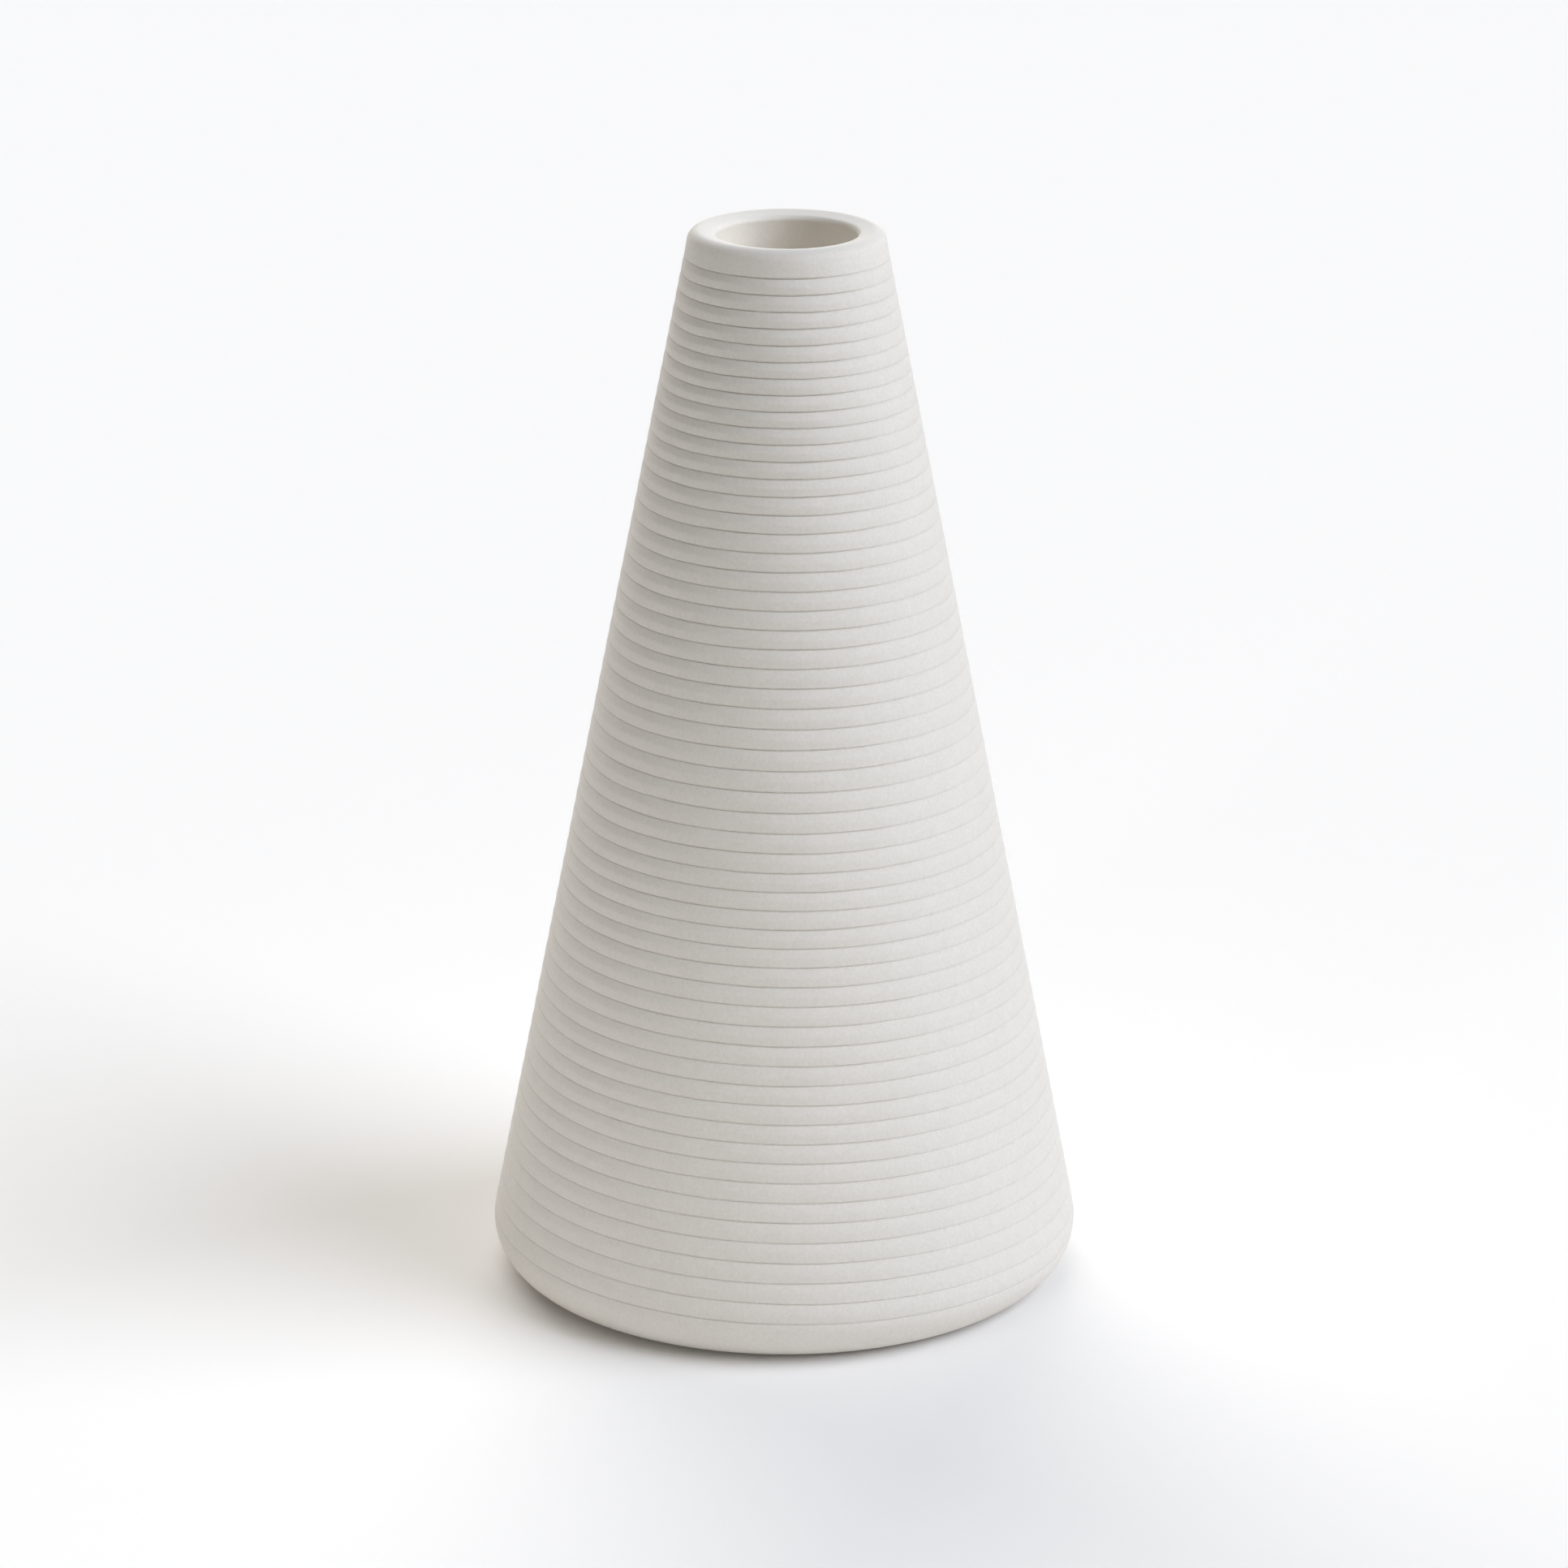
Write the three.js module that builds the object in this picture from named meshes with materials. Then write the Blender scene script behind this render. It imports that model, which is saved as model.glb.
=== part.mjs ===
// A tall conical vase in matt, unglazed ceramic, ribbed from foot to rim by fine turned grooves.
// It is one casting: an even wall round a conical hollow, a thick floor and a hollowed foot.
// Millimetres, +Z up, with the origin at the middle of the foot, on the surface that it stands on.
import * as THREE from "three";

// The cone. Both diameters are those of the straight side, carried on to the foot's and the rim's planes.
const HEIGHT = 219.4;
const FOOT_DIAMETER = 125.4;
const RIM_DIAMETER = 38.94;

// The clay: the wall is measured square to the side, the floor from the table up.
const WALL = 5.5;
const FLOOR = 7;

// The rounded edges, outside and inside.
const FOOT_ROUND = 10;
const RIM_ROUND = 2.3;
const MOUTH_ROUND = 1;
const CAVITY_ROUND = 8;

// The top of the rim is a narrow land that falls towards the mouth.
const LAND_SLOPE = THREE.MathUtils.degToRad(12);

// The ring that it stands on, and the recess inside the ring.
const FOOT_RING_WIDTH = 8;
const RECESS_DEPTH = 1.5;
const RECESS_SLOPE = 2;

// The turned grooves. Their spacing is even but for slow drifts, as on a form turned by hand.
const GROOVE_COUNT = 56;
const GROOVE_WIDTH = 0.8;
const GROOVE_DEPTH = 0.4;
const LOWEST_GROOVE_HEIGHT = 10;
const HIGHEST_GROOVE_DROP = 5.2;

// Each drift lifts the grooves by at most its rise, in a number of half waves between the end grooves.
const DRIFTS = [
  { halfWaves: 1, rise: 5.9 },
  { halfWaves: 2, rise: -1.6 },
  { halfWaves: 3, rise: 0.75 },
  { halfWaves: 4, rise: 0.3 },
  { halfWaves: 5, rise: -0.15 },
  { halfWaves: 8, rise: 0.2 },
  { halfWaves: 10, rise: -0.1 },
];

// How finely the round forms are drawn.
const SIDES = 28;
const FOOT_STEPS = 6;
const RIM_STEPS = 4;
const MOUTH_STEPS = 4;
const CAVITY_STEPS = 4;

const CLAY_COLOUR = 0xe4e1da;
const CLAY_ROUGHNESS = 0.85;

const footRadius = FOOT_DIAMETER / 2;
const rimRadius = RIM_DIAMETER / 2;
const lean = Math.atan((footRadius - rimRadius) / HEIGHT);
const wallAcross = WALL / Math.cos(lean);

// Radius of the straight side, and of the inner wall behind it, at a height.
function sideRadius(height) {
  return footRadius - height * Math.tan(lean);
}

function innerRadius(height) {
  return sideRadius(height) - wallAcross;
}

// A rounded edge is a circle: its middle as a point (radius, height), and its own radius.
// One on the outer side is tangent to it at the angle of the side's normal, which is the lean.
function outerRound(radius, height) {
  return { middle: new THREE.Vector2(sideRadius(height) - radius / Math.cos(lean), height), radius };
}

const footRound = outerRound(FOOT_ROUND, FOOT_ROUND);
const rimRound = outerRound(RIM_ROUND, HEIGHT - RIM_ROUND);

// The mouth's edge is tangent to the inner wall and to the land, which itself is tangent to the rim's edge.
const landNormal = new THREE.Vector2(-Math.sin(LAND_SLOPE), Math.cos(LAND_SLOPE));
const mouthMiddleAtFoot = innerRadius(0) + MOUTH_ROUND / Math.cos(lean);
const middleOverLand = rimRound.middle.dot(landNormal) + RIM_ROUND - MOUTH_ROUND;
const mouthHeight =
  (middleOverLand - mouthMiddleAtFoot * landNormal.x) / (landNormal.y - Math.tan(lean) * landNormal.x);
const mouthRound = {
  middle: new THREE.Vector2(innerRadius(mouthHeight) + MOUTH_ROUND / Math.cos(lean), mouthHeight),
  radius: MOUTH_ROUND,
};

const cornerHeight = FLOOR + CAVITY_ROUND;
const cavityRound = {
  middle: new THREE.Vector2(innerRadius(cornerHeight) - CAVITY_ROUND / Math.cos(lean), cornerHeight),
  radius: CAVITY_ROUND,
};

// The point of a rounded edge at an angle above the horizontal, and points along it between two such angles.
function pointOn(round, angle) {
  return new THREE.Vector2(Math.cos(angle), Math.sin(angle)).multiplyScalar(round.radius).add(round.middle);
}

function arc(round, from, to, steps) {
  const points = [];
  for (let step = 0; step <= steps; step++) points.push(pointOn(round, from + ((to - from) * step) / steps));
  return points;
}

// The angle on a rounded edge at a height, kept between its lowest and highest points.
function angleAt(round, height) {
  return Math.asin(THREE.MathUtils.clamp((height - round.middle.y) / round.radius, -1, 1));
}

// Radius of the outside before any groove is cut: the straight side, or a rounded edge where one has begun.
function outsideRadius(height) {
  const onFoot = height < footRound.middle.y + footRound.radius * Math.sin(lean);
  const onRim = height > rimRound.middle.y + rimRound.radius * Math.sin(lean);
  if (!onFoot && !onRim) return sideRadius(height);
  const round = onFoot ? footRound : rimRound;
  return round.middle.x + round.radius * Math.cos(angleAt(round, height));
}

// Height of one groove's bottom, counted from the foot.
const highestGroove = HEIGHT - HIGHEST_GROOVE_DROP;
function grooveHeight(index) {
  const share = index / (GROOVE_COUNT - 1);
  let height = THREE.MathUtils.lerp(LOWEST_GROOVE_HEIGHT, highestGroove, share);
  for (const { halfWaves, rise } of DRIFTS) height += rise * Math.sin(Math.PI * halfWaves * share);
  return height;
}

// A groove is a V with a shoulder below and above its bottom.
function groovePoints(index) {
  const height = grooveHeight(index);
  const below = height - GROOVE_WIDTH / 2;
  const above = height + GROOVE_WIDTH / 2;
  return [
    new THREE.Vector2(outsideRadius(below), below),
    new THREE.Vector2(outsideRadius(height) - GROOVE_DEPTH, height),
    new THREE.Vector2(outsideRadius(above), above),
  ];
}

// The underside: the recess's roof from the axis out, its slope, and the flat ring.
function undersideProfile() {
  const ringInner = footRound.middle.x - FOOT_RING_WIDTH;
  return [
    new THREE.Vector2(0, RECESS_DEPTH),
    new THREE.Vector2(ringInner - RECESS_SLOPE, RECESS_DEPTH),
    new THREE.Vector2(ringInner, 0),
  ];
}

// The outside: the foot's round up to the lowest groove, the grooves, and the rim's round to the land.
function outsideProfile() {
  const lowestShoulder = grooveHeight(0) - GROOVE_WIDTH / 2;
  const highestShoulder = grooveHeight(GROOVE_COUNT - 1) + GROOVE_WIDTH / 2;
  const footEnd = Math.min(lean, angleAt(footRound, lowestShoulder));
  const rimStart = Math.max(lean, angleAt(rimRound, highestShoulder));
  const points = arc(footRound, -Math.PI / 2, Math.min(0, footEnd), FOOT_STEPS);
  for (let index = 0; index < GROOVE_COUNT; index++) points.push(...groovePoints(index));
  points.push(...arc(rimRound, rimStart, Math.PI / 2, RIM_STEPS));
  points.push(pointOn(rimRound, Math.PI / 2 + LAND_SLOPE));
  return points;
}

// The inside: over the mouth's edge, straight down the inner wall, round the corner and across the floor.
function insideProfile() {
  return [
    ...arc(mouthRound, Math.PI / 2 + LAND_SLOPE, Math.PI + lean, MOUTH_STEPS),
    ...arc(cavityRound, lean, -Math.PI / 2, CAVITY_STEPS),
    new THREE.Vector2(0, FLOOR),
  ];
}

// The casting is that closed outline, turned once round the axis.
function vaseBody() {
  const profile = [...undersideProfile(), ...outsideProfile(), ...insideProfile()];
  const geometry = new THREE.LatheGeometry(profile, SIDES);
  geometry.rotateX(Math.PI / 2);
  const clay = new THREE.MeshStandardMaterial({
    color: CLAY_COLOUR,
    roughness: CLAY_ROUGHNESS,
    metalness: 0,
  });
  const mesh = new THREE.Mesh(geometry, clay);
  mesh.name = "vase_body";
  return mesh;
}

const vase = new THREE.Group();
vase.add(vaseBody());

export default vase;
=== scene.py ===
# %% [markdown]
# A tall conical vase in matt, unglazed ceramic. Its side is ribbed from foot to rim by 56 fine turned
# grooves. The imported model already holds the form: height, cone, wall, hollow, foot and grooves, as a
# coarse closed solid. This lesson gives it the surface that the eye expects: round where the solid has
# 28 sides, soft where a tool left a soft edge, and grained like fired clay. Nothing is moved or resized
# on the way.

# %% The fixed frame
import math
import bpy
import numpy as np
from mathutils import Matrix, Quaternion, Vector


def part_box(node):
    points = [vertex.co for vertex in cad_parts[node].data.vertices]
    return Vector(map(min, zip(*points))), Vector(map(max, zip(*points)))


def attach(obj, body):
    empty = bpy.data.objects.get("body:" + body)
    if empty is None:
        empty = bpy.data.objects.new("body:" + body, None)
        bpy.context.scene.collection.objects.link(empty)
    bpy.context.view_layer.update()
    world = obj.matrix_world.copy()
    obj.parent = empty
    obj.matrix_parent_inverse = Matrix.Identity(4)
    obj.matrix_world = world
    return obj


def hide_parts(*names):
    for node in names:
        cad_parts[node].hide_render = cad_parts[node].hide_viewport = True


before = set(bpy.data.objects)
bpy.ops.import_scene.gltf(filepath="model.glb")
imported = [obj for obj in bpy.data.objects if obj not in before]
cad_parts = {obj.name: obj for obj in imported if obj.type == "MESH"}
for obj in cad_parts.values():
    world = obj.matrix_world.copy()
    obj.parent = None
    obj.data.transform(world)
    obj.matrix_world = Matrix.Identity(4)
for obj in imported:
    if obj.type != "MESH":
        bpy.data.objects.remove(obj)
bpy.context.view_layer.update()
node_low, node_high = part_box("vase_body")
MM = 0.001
HEIGHT = node_high.z - node_low.z
print("vase_body is", round(HEIGHT / MM, 2), "mm tall and",
      round((node_high.x - node_low.x) / MM, 2), "mm across")

# %% [markdown]
# The form is a body of revolution, so one outline says all of it. It could be modelled by hand and spun,
# but the outline is only a few straight lines and four circles, and a formula keeps them exactly
# tangent. The sizes below are the real ones of the casting. Both diameters are those of the straight
# side, carried on to the foot's and the rim's planes. The last line prints the width and the mouth that
# the sizes give.

# %% Sizes of the casting
FOOT_DIAMETER = 125.4 * MM
RIM_DIAMETER = 38.94 * MM
WALL = 5.5 * MM
FLOOR = 7.0 * MM
FOOT_ROUND = 10.0 * MM
RIM_ROUND = 2.3 * MM
LAND_SLOPE = math.radians(12)
MOUTH_ROUND = 1.0 * MM
CAVITY_ROUND = 8.0 * MM
FOOT_RING_WIDTH = 8.0 * MM
RECESS_DEPTH = 1.5 * MM
RECESS_SLOPE = 2.0 * MM

lean = math.atan((FOOT_DIAMETER - RIM_DIAMETER) / 2 / HEIGHT)


def side_radius(z):
    """Radius of the straight side at a height: it falls from the foot's radius by the tangent of the lean."""
    return FOOT_DIAMETER / 2 - z * math.tan(lean)


def inner_radius(z):
    """Radius of the inner wall: the side's radius less the wall, which is measured square to the side."""
    return side_radius(z) - WALL / math.cos(lean)


foot_middle = side_radius(FOOT_ROUND) - FOOT_ROUND / math.cos(lean)
rim_height = HEIGHT - RIM_ROUND
rim_middle = side_radius(rim_height) - RIM_ROUND / math.cos(lean)
cavity_middle = inner_radius(FLOOR + CAVITY_ROUND) - CAVITY_ROUND / math.cos(lean)


def outside_radius(z):
    """Radius of the outside at any height. Below the foot's tangent point, and above the rim's, it is the
    rounded edge: the circle's middle plus the root of its radius squared less the height from the middle
    squared."""
    foot_rise = np.clip(z - FOOT_ROUND, -FOOT_ROUND, FOOT_ROUND)
    rim_rise = np.clip(z - rim_height, -RIM_ROUND, RIM_ROUND)
    on_foot = foot_middle + np.sqrt(FOOT_ROUND**2 - foot_rise**2)
    on_rim = rim_middle + np.sqrt(RIM_ROUND**2 - rim_rise**2)
    radius = np.where(foot_rise < FOOT_ROUND * math.sin(lean), on_foot, side_radius(z))
    return np.where(rim_rise > RIM_ROUND * math.sin(lean), on_rim, radius)


def mouth_circle():
    """Middle, as radius and height, of the mouth's edge. It keeps its own radius from the inner wall, and
    lies above the land's direction, through the rim's middle, by the difference of the two radii."""
    down, up = math.sin(LAND_SLOPE), math.cos(LAND_SLOPE)
    at_foot = inner_radius(0) + MOUTH_ROUND / math.cos(lean)
    over_land = RIM_ROUND - MOUTH_ROUND - rim_middle * down + rim_height * up
    height = (over_land + at_foot * down) / (up + math.tan(lean) * down)
    return inner_radius(height) + MOUTH_ROUND / math.cos(lean), height


mouth_middle, mouth_height = mouth_circle()
print("lean", round(math.degrees(lean), 2), "degrees, widest", round((foot_middle + FOOT_ROUND) * 2 / MM, 2),
      "mm, mouth", round((mouth_middle - MOUTH_ROUND) * 2 / MM, 2), "mm")

# %% [markdown]
# The grooves were turned one by one, so their spacing drifts: close near the rim, wider below. An even
# spacing with a few slow half waves added gives the same drift with seven small numbers, and the end
# grooves stay put. Each pair is a count of half waves from foot to rim, and the rise of that wave in
# millimetres.

# %% Heights of the grooves
GROOVE_COUNT = 56
LOWEST_GROOVE = 10.0 * MM
HIGHEST_GROOVE = HEIGHT - 5.2 * MM
DRIFTS = ((1, 5.9), (2, -1.6), (3, 0.75), (4, 0.3), (5, -0.15), (8, 0.2), (10, -0.1))

share = np.linspace(0, 1, GROOVE_COUNT)
groove_z = LOWEST_GROOVE + share * (HIGHEST_GROOVE - LOWEST_GROOVE)
for half_waves, rise in DRIFTS:
    groove_z = groove_z + rise * MM * np.sin(math.pi * half_waves * share)
bands = np.diff(groove_z)
print("bands from", round(bands.min() / MM, 2), "to", round(bands.max() / MM, 2), "mm tall")

# %% [markdown]
# Seen close, each band between two grooves is a shallow crown, and each groove is a narrow slot with
# soft shoulders. A bump map could fake both, but not the outline, so both are real geometry: rows of
# points, close together in the groove and sparse on the crown. The outermost row of a shoulder lies
# beside the groove and not in it, so that smooth shading doesn't carry the groove's slope on to the
# crown.
#
# The crown is only a tenth of a millimetre high, because the outline of the real vase is almost
# straight. The bands are shaded more strongly than that gives, and the clay's bump adds the difference
# later.

# %% Section of a band and its groove
GROOVE_HALF = 0.20 * MM
DEPTH_AT_FOOT = 0.13 * MM
DEPTH_AT_RIM = 0.21 * MM
CROWN = 0.10 * MM
SHOULDER_STATIONS = np.array([0.5, 0.8, 1.0, 1.4])


def band_rows(low, high):
    """Heights from one groove's bottom up to just short of the next: the upper shoulder of the lower
    groove, the crown's middle, and the lower shoulder of the upper groove. Stations are in half widths of a
    groove."""
    lower = low + GROOVE_HALF * SHOULDER_STATIONS
    upper = high - GROOVE_HALF * SHOULDER_STATIONS[::-1]
    return np.concatenate([[low], lower, [(low + high) / 2], upper])


def relief(z):
    """Distance from the band's middle in half bands, which falls to nothing half a band beyond the end
    grooves, and how deep a height lies in its groove: one less the fourth power of the distance to it, in
    half widths."""
    below = np.clip(np.searchsorted(groove_z, z, side="right") - 1, 0, GROOVE_COUNT - 2)
    across = np.clip((z - groove_z[below]) / bands[below], -0.5, 1.5)
    beyond = np.abs(across - np.clip(across, 0, 1))
    off_middle = np.where(beyond > 0, 1 - 2 * beyond, 2 * across - 1)
    to_groove = np.abs(z[:, None] - groove_z[None, :]).min(axis=1)
    cut = 1 - np.clip(to_groove / GROOVE_HALF, 0, 1) ** 4
    return np.abs(off_middle), cut


lowest_band = band_rows(groove_z[0], groove_z[1])
print("rows of the lowest band, in mm from its groove:", np.round((lowest_band - groove_z[0]) / MM, 2))

# %% [markdown]
# The rows of the outside are heights alone, because its radius follows from the height. Even rows, as
# close everywhere as a groove's shoulders need them, would be about ten times as many. So rows go where
# the form turns: the rounded foot and rim get them at even angles, and the ribs get ten to a band.

# %% Rows of the outside
FOOT_ROWS = 16
RIM_ROWS = 14

foot_angles = np.linspace(-math.pi / 2, 0, FOOT_ROWS)
foot_rows = FOOT_ROUND * (1 + np.sin(foot_angles))
foot_rows = foot_rows[foot_rows < groove_z[0] - 2 * GROOVE_HALF]
ribbed_rows = np.concatenate([band_rows(low, high) for low, high in zip(groove_z[:-1], groove_z[1:])])
rim_angles = np.linspace(lean, math.pi / 2, RIM_ROWS)
outside_z = np.concatenate([
    foot_rows,
    groove_z[0] - GROOVE_HALF * SHOULDER_STATIONS[::-1],
    ribbed_rows,
    groove_z[-1:],
    groove_z[-1] + GROOVE_HALF * SHOULDER_STATIONS,
    HEIGHT - RIM_ROUND * (1 - np.sin(rim_angles)),
])
off_middle, cut = relief(outside_z)
print(len(outside_z), "rows on the outside, of which", len(ribbed_rows), "are ribbed")

# %% [markdown]
# The grooves aren't quite level. The tool ran out of true, so that near the foot they sit more than a
# millimetre too high on one side and too low on the other, and near the rim they are almost level. The
# rows slide along the surface by that much: the height changes with the sine of the direction, and the
# radius is worked out again for it. All rows are also lowered by a tenth of a millimetre, which puts the
# grooves where they lie on the real vase.
#
# The tool bit deepest in front and behind, and least at the two sides, which the fourth power of a
# cosine gives. Beside that, each groove wanders by a few hundredths of a millimetre and bites a little
# deeper here than there, and the clay itself is as uneven: each is a mean of slow waves round and up the
# form. The shifts and the unevenness fade out at the foot and at the rim, so the vase keeps its height
# and stands flat.

# %% The outside as a grid of rows and directions
DIRECTIONS = 144
RUNOUT_AT_RIM = -0.15 * MM
RUNOUT_AT_FOOT = -1.45 * MM
LOWERED = 0.1 * MM
END_FADE = 7.0 * MM
WANDER = 0.05 * MM
UNEVEN = 0.03 * MM
BITE_AT_SIDES = 0.35
BITE_CHANGE = 0.2
WANDER_WAVES = ((4, 21.3, 0.4), (7, -17.1, 1.9), (11, 26.7, 4.1), (16, -33.2, 2.7))
BITE_WAVES = ((3, 19.3, 1.1), (6, -23.9, 3.2), (10, 31.7, 5.0))
UNEVEN_WAVES = ((2, 1.3, 0.4), (3, -2.1, 1.9), (5, 3.7, 4.1), (7, -6.1, 0.9))

direction = np.linspace(0, 2 * math.pi, DIRECTIONS, endpoint=False)[None, :]


def smooth_step(x):
    """Three times the square less twice the cube, of x held between 0 and 1."""
    x = np.clip(x, 0, 1)
    return x * x * (3 - 2 * x)


def slow_waves(z, waves):
    """The mean of some cosines. Each has a count of waves round the form and up it, and a start angle."""
    up = 2 * math.pi * z / HEIGHT
    cosines = [np.cos(around * direction + rising * up + start) for around, rising, start in waves]
    return sum(cosines) / len(waves)


row = outside_z[:, None]
ends = smooth_step(row / END_FADE) * smooth_step((HEIGHT - row) / END_FADE)
runout = RUNOUT_AT_RIM + (RUNOUT_AT_FOOT - RUNOUT_AT_RIM) * (1 - row / HEIGHT) ** 2
wander = WANDER * slow_waves(row, WANDER_WAVES)
grid_z = row + (runout * np.sin(direction) + wander - LOWERED) * ends

bite = BITE_AT_SIDES + np.cos(direction) ** 4 + BITE_CHANGE * slow_waves(row, BITE_WAVES)
uneven = UNEVEN * (1 + slow_waves(row, UNEVEN_WAVES))
depth = DEPTH_AT_FOOT + (DEPTH_AT_RIM - DEPTH_AT_FOOT) * row / HEIGHT
inset = CROWN * off_middle[:, None] ** 2 + depth * cut[:, None] * bite + uneven * ends
grid_r = outside_radius(grid_z) - inset
print("outside grid", grid_z.shape, "and widest", round(grid_r.max() * 2 / MM, 2), "mm")

# %% [markdown]
# The underside and the inside aren't ribbed, so each is a plain outline of points carried round. The
# land on top of the rim, the mouth's round edge, the floor's corner and the recess under the foot are
# arcs and short lines. Close pairs of rows keep the crisp edges crisp under smooth shading. The rows of
# the inner wall follow the square of an even count, which brings them close together under the mouth,
# where they are seen.

# %% Outlines of the underside and the inside
EDGE = 0.25 * MM
LAND_ROWS = 4
MOUTH_ROWS = 12
CORNER_ROWS = 9
WALL_ROWS = 20


def arc(radius, height, size, start, end, count):
    """Points on a circle about (radius, height), from one angle above the horizontal to another."""
    angle = np.linspace(start, end, count)
    return np.stack([radius + size * np.cos(angle), height + size * np.sin(angle)], axis=1)


ring_inner = foot_middle - FOOT_RING_WIDTH
recess_outer = ring_inner - RECESS_SLOPE
edge_rise = RECESS_DEPTH * EDGE / RECESS_SLOPE
underside = np.array([
    [recess_outer / 2, RECESS_DEPTH],
    [recess_outer - EDGE, RECESS_DEPTH],
    [recess_outer + EDGE, RECESS_DEPTH - edge_rise],
    [ring_inner - EDGE, edge_rise],
    [ring_inner + EDGE, 0.0],
    [(ring_inner + foot_middle) / 2, 0.0],
])
land_start = arc(rim_middle, rim_height, RIM_ROUND, math.pi / 2, math.pi / 2 + LAND_SLOPE, LAND_ROWS)[1:]
mouth = arc(mouth_middle, mouth_height, MOUTH_ROUND, math.pi / 2 + LAND_SLOPE, math.pi + lean, MOUTH_ROWS)
land = np.linspace(land_start[-1], mouth[0], LAND_ROWS)[1:-1]
corner = arc(cavity_middle, FLOOR + CAVITY_ROUND, CAVITY_ROUND, lean, -math.pi / 2, CORNER_ROWS)
down_wall = np.linspace(0, 1, WALL_ROWS + 2)[1:-1] ** 2
wall_z = mouth[-1, 1] + (corner[0, 1] - mouth[-1, 1]) * down_wall
wall = np.stack([inner_radius(wall_z), wall_z], axis=1)
inside = np.concatenate([land_start, land, mouth, wall, corner, [[cavity_middle / 2, FLOOR]]])
print(len(underside), "rows under the foot and", len(inside), "rows inside")

# %% [markdown]
# All rows together make one closed grid. A Screw modifier could turn an outline, but not one whose grooves
# wander, so every point is worked out. The grid wraps round, so the seam has no doubled points, and each
# end closes in one point on the axis. Walking the outline from the underside, up the outside and down
# the inside makes every face look outwards.

# %% One closed mesh
def plain_rows(outline):
    """A plain outline of radius and height, carried round all the directions."""
    return np.repeat(outline[:, None, :], DIRECTIONS, axis=1)


def closed_grid(rows, low_pole, high_pole):
    """Points and faces of a grid of (radius, height) that wraps round and ends in two points on the axis. A
    point lies at radius times the sine of its direction in x, and less radius times the cosine in y."""
    count, around = rows.shape[:2]
    x = rows[..., 0] * np.sin(direction)
    y = -rows[..., 0] * np.cos(direction)
    points = np.stack([x, y, rows[..., 1]], axis=-1).reshape(-1, 3)
    points = np.concatenate([points, [[0, 0, low_pole], [0, 0, high_pole]]])
    index = np.arange(count * around).reshape(count, around)
    after = np.roll(index, -1, axis=1)
    quads = np.stack([index[:-1], after[:-1], after[1:], index[1:]], axis=-1).reshape(-1, 4)
    low_fan = np.stack([after[0], index[0], np.full(around, count * around)], axis=-1)
    high_fan = np.stack([index[-1], after[-1], np.full(around, count * around + 1)], axis=-1)
    return points, quads, np.concatenate([low_fan, high_fan])


def mesh_piece(name, points, quads, fans):
    """A smooth-shaded mesh object at the origin, from arrays of points, four-sided and three-sided faces."""
    mesh = bpy.data.meshes.new(name)
    mesh.from_pydata(points.tolist(), [], quads.tolist() + fans.tolist())
    mesh.polygons.foreach_set("use_smooth", np.ones(len(mesh.polygons), bool))
    mesh.update()
    piece = bpy.data.objects.new(name, mesh)
    bpy.context.scene.collection.objects.link(piece)
    return piece


outside = np.stack([grid_r, grid_z], axis=-1)
rows = np.concatenate([plain_rows(underside), outside, plain_rows(inside)])
points, quads, fans = closed_grid(rows, RECESS_DEPTH, FLOOR)
vase = mesh_piece("vase_surface", points, quads, fans)
print("vase_surface has", 2 * len(quads) + len(fans), "triangles")

# %% [markdown]
# The finish isn't the same all over, and the material has to know where it changes. Painted shade
# darkens the cuts and the land on the rim, and painted light makes the inside paler from the mouth's edge.
# All of that is known for every row of the grid, so it goes onto the mesh as attributes, and the
# material reads them at each point instead of guessing from the shading.
#
# The swell, in millimetres, is the part of a band's roundness that the outline doesn't show. It grows
# from the band's middle to its edges, is weaker near the foot, and is oval round the form: stronger
# along one diagonal than along the other.

# %% Attributes along the outline
SWELL = 0.36
SWELL_LOSS = 0.5
SWELL_OVAL = 0.35
OVAL_AT = math.radians(-30)
LAND_SHADE_FADE = 1.2 * MM
INNER_FADE = 1.5 * MM


def grid_attribute(name, below, on_outside, within):
    """Puts a number for every point of the grid onto the mesh. A pole takes that of the row beside it."""
    parts = ((below, len(underside)), (on_outside, len(outside_z)), (within, len(inside)))
    grid = np.concatenate([np.broadcast_to(part, (count, DIRECTIONS)) for part, count in parts])
    by_point = np.concatenate([grid.reshape(-1), grid[[0, -1], 0]])
    attribute = vase.data.attributes.new(name, "FLOAT", "POINT")
    attribute.data.foreach_set("value", by_point.astype(np.float32))


swell = SWELL * (1 - SWELL_LOSS * (1 - outside_z / HEIGHT) ** 2) * off_middle
oval = 1 + SWELL_OVAL * np.cos(2 * (direction - OVAL_AT))
inner = smooth_step((mouth_height + MOUTH_ROUND - inside[:, 1:]) / INNER_FADE)
# The cut also marks where painted shade darkens the grooves.
grid_attribute("cut", 0.0, cut[:, None], 0.0)
grid_attribute("swell", 0.0, swell[:, None] * oval, 0.0)
# The land marks where painted shade darkens the top of the rim and the mouth's edge.
grid_attribute("land", 0.0, smooth_step(1 + (outside_z[:, None] - HEIGHT) / LAND_SHADE_FADE), 1 - inner)
# The inner marks where painted light makes the inner wall paler.
grid_attribute("inner", 0.0, 0.0, inner)
print("rows in a groove:", int((cut > 0).sum()), "and below the mouth's edge:", int((inner == 1).sum()))

# %% [markdown]
# A material is a graph of nodes. It could be drawn by hand in the shader editor, but written as Python
# sums it is easier to read and to change. This small class wraps a socket, so that adding or multiplying
# two of them adds a Math node. Any other node comes from one method that takes its type, its settings
# and its inputs.

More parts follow.
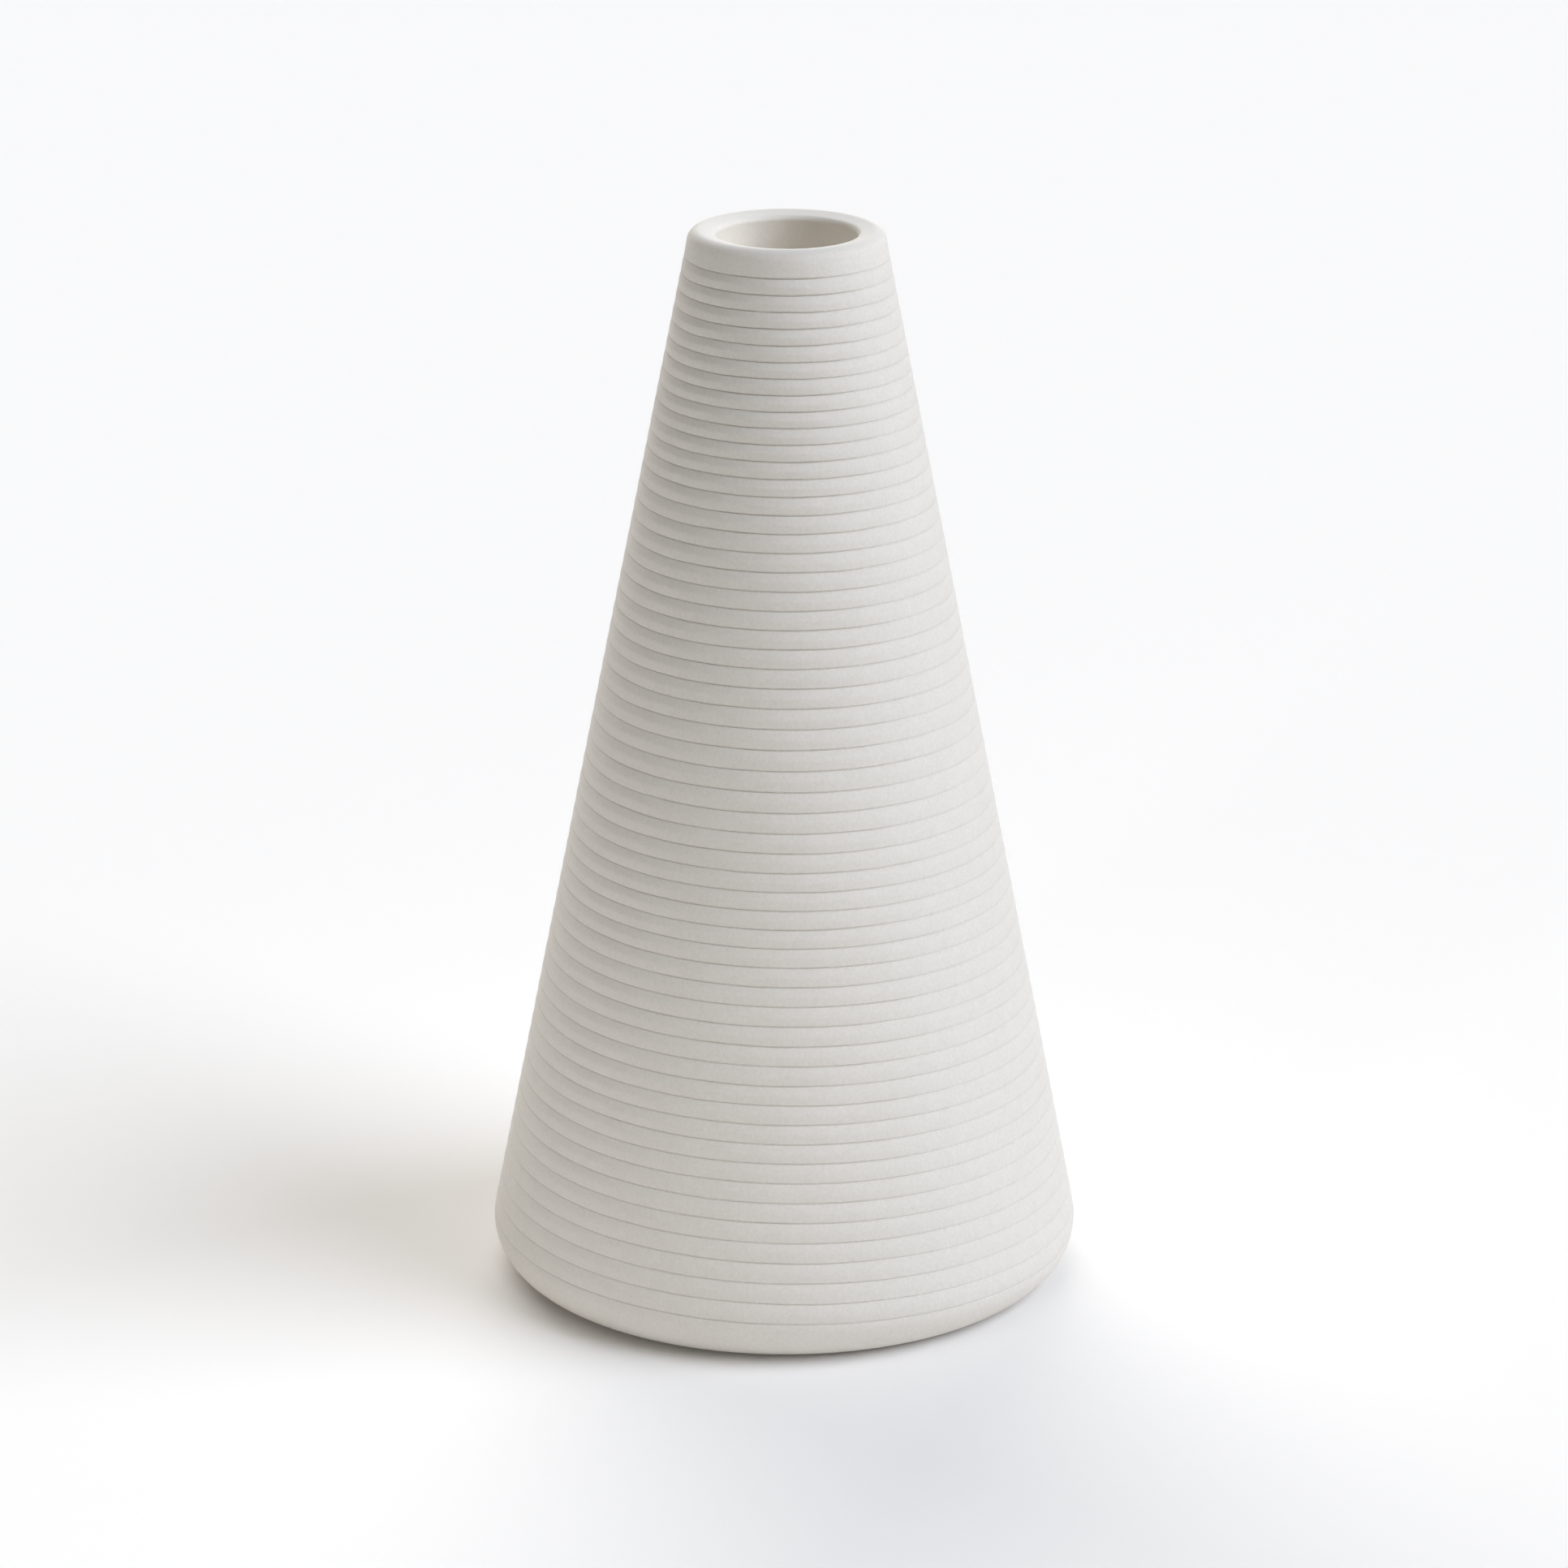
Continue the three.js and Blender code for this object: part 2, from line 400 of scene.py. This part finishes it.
# %% Shader maths as expressions
class Value:
    """The output socket of a node, which sums and products can be made of."""

    def __init__(self, graph, socket):
        self.graph = graph
        self.socket = socket

    def maths(self, operation, other=0.0):
        """A Math node of any operation, with this socket as its first input."""
        return self.graph.node("ShaderNodeMath", {"operation": operation}, {0: self, 1: other})

    def __add__(self, other):
        return self.maths("ADD", other)

    __radd__ = __add__

    def __sub__(self, other):
        return self.maths("SUBTRACT", other)

    def __rsub__(self, other):
        return self * -1.0 + other

    def __mul__(self, other):
        return self.maths("MULTIPLY", other)

    __rmul__ = __mul__


class Graph:
    """An emptied node tree, to which nodes are added one by one."""

    def __init__(self, tree):
        self.tree = tree
        self.tree.nodes.clear()

    def node(self, kind, settings=None, inputs=None, output=0):
        """Adds a node, makes its settings first and then its inputs, and gives one of its outputs, if any."""
        made = self.tree.nodes.new(kind)
        for key, value in (settings or {}).items():
            setattr(made, key, value)
        for key, value in (inputs or {}).items():
            if isinstance(value, Value):
                self.tree.links.new(value.socket, made.inputs[key])
            else:
                made.inputs[key].default_value = value
        return Value(self, made.outputs[output]) if made.outputs else None

    def mix(self, factor, first, second):
        """A colour between two others."""
        return self.node("ShaderNodeMix", {"data_type": "RGBA"}, {0: factor, 6: first, 7: second}, output=2)

    def noise(self, place, per_metre, detail):
        """A soft noise between 0 and 1, with so many features to the metre."""
        return self.node("ShaderNodeTexNoise", {}, {"Vector": place, "Scale": per_metre, "Detail": detail})

    def attribute(self, name):
        """A number that the mesh holds at each point."""
        return self.node("ShaderNodeAttribute", {"attribute_name": name}, output="Fac")


# %% [markdown]
# The clay is an off-white bisque: matt all over, never quite one colour. Slow mottling, clouds and most
# of all a fine grain shift it between a darker and a paler white. Painted shade makes the cuts darker,
# and the land on the rim a little darker and cooler; painted light makes the inner wall paler. An image
# of clay could be wrapped round instead, but it would show a seam. The noises read Object coordinates in
# metres, so their scale is a count of features to the metre and stays true all round.
#
# One Bump node makes the relief that is too fine for the mesh. Its heights are in millimetres: clouds
# and grain, less the swell. The root of the swell squared plus a small ridge squared falls straight to
# both edges of a band, and is rounded over at the middle.

# %% The clay
CLAY_DARK = (0.680, 0.636, 0.572, 1.0)
CLAY_PALE = (0.858, 0.819, 0.758, 1.0)
# Colours of painted shade, in the cuts and on the land on the rim.
CLAY_CUT_SHADE = (0.54, 0.50, 0.45, 1.0)
CLAY_LAND_SHADE = (0.655, 0.638, 0.608, 1.0)
# Colours of painted light on the inner wall, paler than the clay.
LIT_INNER_DARK = (0.91, 0.86, 0.78, 1.0)
LIT_INNER_PALE = (0.99, 0.94, 0.86, 1.0)
CUT_SHADE_TONE = 0.12
LAND_SHADE_TONE = 0.7
MOTTLE_PER_METRE = 60.0
CLOUD_PER_METRE = 330.0
GRAIN_PER_METRE = 1600.0
MOTTLE_SHARE = 0.15
CLOUD_SHARE = 0.2
GRAIN_SHARE = 0.65
CLOUD_RISE = 0.035
GRAIN_RISE = 0.03
SWELL_RIDGE = 0.08
ROUGH_AT_LEAST = 0.8
ROUGHER_BY_GRAIN = 0.1
DULL_SHINE = 0.3


def clay_material():
    """A matt Principled shader: noises and attributes vary its colour, roughness and bump."""
    material = bpy.data.materials.new("bisque_clay")
    material.use_nodes = True
    clay = Graph(material.node_tree)
    place = clay.node("ShaderNodeTexCoord", output="Object")
    mottle = clay.noise(place, MOTTLE_PER_METRE, detail=3.0)
    cloud = clay.noise(place, CLOUD_PER_METRE, detail=2.0)
    grain = clay.noise(place, GRAIN_PER_METRE, detail=2.0)
    speckle = MOTTLE_SHARE * mottle + CLOUD_SHARE * cloud + GRAIN_SHARE * grain
    body = clay.mix(speckle, CLAY_DARK, CLAY_PALE)
    # Painted shade: the grooves are darkened in colour where shade gathers in them.
    body = clay.mix(CUT_SHADE_TONE * clay.attribute("cut"), body, CLAY_CUT_SHADE)
    # Painted shade: the land on the rim is painted darker and cooler.
    body = clay.mix(LAND_SHADE_TONE * clay.attribute("land"), body, CLAY_LAND_SHADE)
    # Painted light: the inner wall is painted paler, to stand for light inside the mouth.
    painted_lit_inner_wall = clay.mix(speckle, LIT_INNER_DARK, LIT_INNER_PALE)
    swell = clay.attribute("swell")
    rounding = (swell * swell + SWELL_RIDGE**2).maths("SQRT")
    bump = clay.node("ShaderNodeBump", {}, {
        "Height": CLOUD_RISE * cloud + GRAIN_RISE * grain - rounding,
        "Strength": 1.0,
        "Distance": MM,
    })
    shader = clay.node("ShaderNodeBsdfPrincipled", {}, {
        "Base Color": clay.mix(clay.attribute("inner"), body, painted_lit_inner_wall),
        "Roughness": ROUGH_AT_LEAST + ROUGHER_BY_GRAIN * grain,
        "Normal": bump,
        "Specular IOR Level": DULL_SHINE,
    })
    clay.node("ShaderNodeOutputMaterial", {}, {"Surface": shader})
    return material


vase.data.materials.append(clay_material())
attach(vase, "root")
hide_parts("vase_body")
print("material", vase.data.materials[0].name, "has", len(vase.data.materials[0].node_tree.nodes), "nodes")

# %% [markdown]
# The vase stands on a plain pale floor, wide enough to fill the picture from any side. A studio's curved
# backdrop could do that too, but its bend would face only one camera. One large square is enough, because
# nothing on it is seen: it is there for the light that it throws back up at the vase, and for the shadow.

# %% The floor
FLOOR_HALF_WIDTH = 30.0
FLOOR_COLOUR = (0.945, 0.925, 0.9, 1.0)


def pale_floor():
    """One square at the height of the foot, in a matt paint."""
    half = FLOOR_HALF_WIDTH
    corners = [(-half, -half, 0), (half, -half, 0), (half, half, 0), (-half, half, 0)]
    mesh = bpy.data.meshes.new("studio_floor")
    mesh.from_pydata(corners, [], [(0, 1, 2, 3)])
    piece = bpy.data.objects.new("studio_floor", mesh)
    bpy.context.scene.collection.objects.link(piece)
    material = bpy.data.materials.new("studio_floor")
    material.use_nodes = True
    paint = Graph(material.node_tree)
    shader = paint.node("ShaderNodeBsdfPrincipled", {}, {
        "Base Color": FLOOR_COLOUR,
        "Roughness": 1.0,
        "Specular IOR Level": 0.0,
    })
    paint.node("ShaderNodeOutputMaterial", {}, {"Surface": shader})
    mesh.materials.append(material)
    return piece


pale_floor()
print("floor", 2 * FLOOR_HALF_WIDTH, "m wide")

# %% [markdown]
# The room could be a painted box round the floor, but its corners would show. The world's background has
# none. It is as pale as the lit floor where the camera sees it, so the floor's far edge doesn't show. As a
# light it is dim, so that the lamps shape the vase.

# %% The room
ROOM_PALE = (0.948, 0.953, 0.961, 1.0)
ROOM_DIM = (0.02, 0.02, 0.02, 1.0)


def studio_room():
    """A world with one colour for what the camera sees and another for the light that it sends out."""
    world = bpy.data.worlds.new("studio_room")
    world.use_nodes = True
    room = Graph(world.node_tree)
    seen = room.node("ShaderNodeLightPath", output="Is Camera Ray")
    light = room.node("ShaderNodeBackground", {}, {"Color": room.mix(seen, ROOM_DIM, ROOM_PALE)})
    room.node("ShaderNodeOutputWorld", {}, {"Surface": light})
    return world


bpy.context.scene.world = studio_room()
print("room", bpy.context.scene.world.name)

# %% [markdown]
# Soft studio light comes from large boxes. Area lamps could stand for them, but each would leave a bright
# pool on the floor. A sun lamp with a wide angle lights the whole floor evenly, and its width makes the
# shadow's edge as soft. The key, from the right, is the strongest and a little cool. The boxes behind, at
# the left and overhead are weaker and a little warm. Directions are given as seen from the vase, from the
# camera's side round towards +X, and above the horizon.

# %% Soft boxes
BOX_WIDTH = math.radians(50)
COOL = (0.876, 0.942, 1.055)
WARM = (1.015, 1.0, 0.975)


def aim(lamp, towards):
    """A lamp's object, turned so that it shines against a direction that points from the vase to the lamp."""
    source = bpy.data.objects.new(lamp.name, lamp)
    source.rotation_mode = "QUATERNION"
    source.rotation_quaternion = towards.to_track_quat("Z", "Y")
    bpy.context.scene.collection.objects.link(source)
    return source


def soft_box(name, azimuth, elevation, strength, colour):
    """A wide sun lamp that shines from a direction given in degrees."""
    lamp = bpy.data.lights.new(name, "SUN")
    lamp.angle = BOX_WIDTH
    lamp.energy = strength
    lamp.color = colour
    a, e = math.radians(azimuth), math.radians(elevation)
    return aim(lamp, Vector((math.sin(a) * math.cos(e), -math.cos(a) * math.cos(e), math.sin(e))))


boxes = [
    soft_box("key_box", azimuth=75, elevation=38, strength=2.45, colour=COOL),
    soft_box("back_low", azimuth=-175, elevation=8, strength=1.46, colour=WARM),
    soft_box("back_high", azimuth=-165, elevation=30, strength=1.5, colour=WARM),
    soft_box("left_low", azimuth=-120, elevation=0, strength=0.2, colour=WARM),
    soft_box("top_box", azimuth=-50, elevation=82, strength=0.72, colour=WARM),
]
print("soft boxes:", ", ".join(box.name for box in boxes))

# %% [markdown]
# Two things are left that the boxes can't do, because they are as strong at every height. The light on
# the real vase grows towards the foot, and the top of its hollow is bright. A low lamp in front does the
# first: it is aimed just under the foot, and its soft-edged cone fades out towards the rim. Two small
# lamps do the second: they look down into the mouth from the right and the left, with beams about as
# wide as the mouth.

# %% Spot lamps
MOUTH = Vector((0.0, 0.0, HEIGHT))
UNDER_FOOT = Vector((0.0, 0.0, -0.02))
LOW_LAMP_AT = Vector((-0.75, -1.3, 0.22))
MOUTH_LAMP_AT = Vector((0.52, -0.30, 0.89))
MOUTH_FILL_AT = Vector((-0.50, -0.40, 0.86))


def spot_lamp(name, place, target, watts, cone, size):
    """A soft-edged spot lamp, aimed from a place at a target. Its cone is in degrees, its size in metres."""
    lamp = bpy.data.lights.new(name, "SPOT")
    lamp.energy = watts
    lamp.spot_size = math.radians(cone)
    lamp.spot_blend = 1.0
    lamp.shadow_soft_size = size
    source = aim(lamp, place - target)
    source.location = place
    return source


spots = [
    spot_lamp("low_lamp", LOW_LAMP_AT, UNDER_FOOT, watts=17.5, cone=15, size=0.12),
    spot_lamp("mouth_lamp", MOUTH_LAMP_AT, MOUTH, watts=20.0, cone=1.8, size=0.008),
    spot_lamp("mouth_fill", MOUTH_FILL_AT, MOUTH, watts=6.0, cone=1.6, size=0.008),
]
print("spot lamps:", ", ".join(spot.name for spot in spots))

# %% [markdown]
# The camera stands about 1.2 metres away with a long lens, and looks down by about 18 degrees, so the
# mouth shows as a narrow ellipse. Its place was worked out from the photograph: the slope of the two
# sides, the curve of the grooves and the mouth's ellipse agree on only one distance and height.

# %% The camera
CAMERA_AT = Vector((0.0, -1.1497, 0.4879))
CAMERA_AIM = Vector((-0.0003, 0.0, 0.1035))
CAMERA_ROLL = math.radians(0.141)
CAMERA_LENS = 136.3
CAMERA_SENSOR = 36.0

camera_data = bpy.data.cameras.new("camera")
camera_data.lens = CAMERA_LENS
camera_data.sensor_width = CAMERA_SENSOR
camera = bpy.data.objects.new("camera", camera_data)
camera.location = CAMERA_AT
camera.rotation_mode = "QUATERNION"
look = (CAMERA_AIM - CAMERA_AT).to_track_quat("-Z", "Y")
camera.rotation_quaternion = look @ Quaternion((0.0, 0.0, 1.0), CAMERA_ROLL)
bpy.context.scene.collection.objects.link(camera)
bpy.context.scene.camera = camera
bpy.context.scene.view_settings.view_transform = "Standard"
print("camera", round((CAMERA_AIM - CAMERA_AT).length, 3), "m from its aim")
